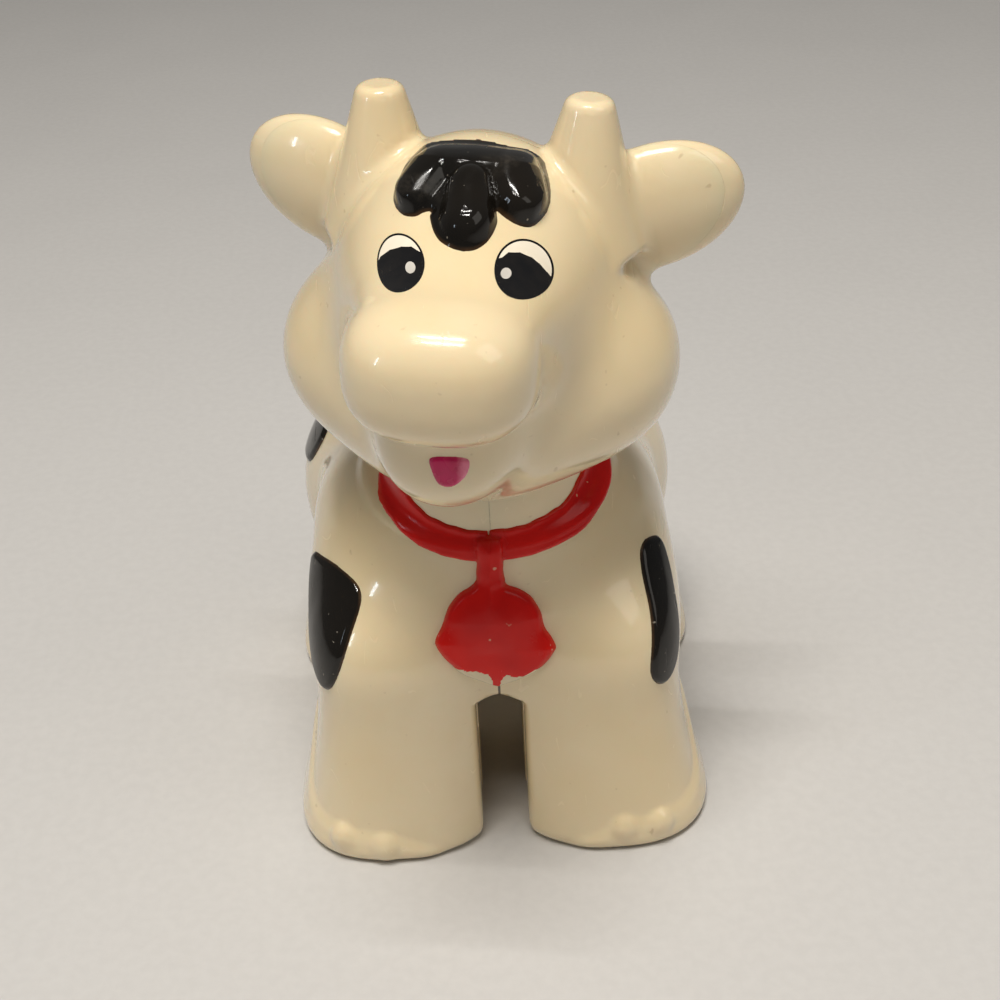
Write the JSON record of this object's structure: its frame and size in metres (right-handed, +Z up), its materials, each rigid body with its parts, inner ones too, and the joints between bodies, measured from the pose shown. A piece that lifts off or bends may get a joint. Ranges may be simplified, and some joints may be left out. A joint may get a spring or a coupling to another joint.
{
  "type": "toy cow figure",
  "caption": "Small hollow cream plastic toy cow with black spots and hair tuft, red collar and bell, and a head that turns on its neck.",
  "frame": {"origin": "centre of the bounding box at the soles", "axes": "+Z up, -Y the way the cow's chest faces, +X the cow's left"},
  "size_m": [0.0754, 0.1072, 0.1215],
  "materials": {
    "cream_shell": "glossy",
    "inner_cream": "glossy",
    "black_paint": "glossy",
    "red_paint": "glossy",
    "pink_paint": "glossy"
  },
  "bodies": {
    "body": {"body_shell_left": "cream_shell", "body_shell_right": "cream_shell", "leg_cover_front_left": "inner_cream", "leg_cover_front_right": "inner_cream", "leg_cover_rear_left": "inner_cream", "leg_cover_rear_right": "inner_cream", "collar_bell_left": "red_paint", "collar_bell_right": "red_paint", "shoulder_patch_left": "black_paint", "shoulder_patch_right": "black_paint", "hip_patch_left": "black_paint", "hip_patch_right": "black_paint", "tail": "cream_shell", "tail_tuft": "black_paint"},
    "head": {"neck_spool": "inner_cream", "face_shell": "cream_shell", "rear_head_shell": "cream_shell", "hair_tuft": "black_paint", "eye_left": "black_paint", "eye_right": "black_paint", "tongue": "pink_paint"}
  },
  "joints": [
    {"name": "head_turn", "type": "hinge", "parent": "body", "child": "head", "pos_m": [-0.00012, -0.00948, 0.06899], "axis": [0, -0.225, 0.9744], "continuous": true}
  ]
}
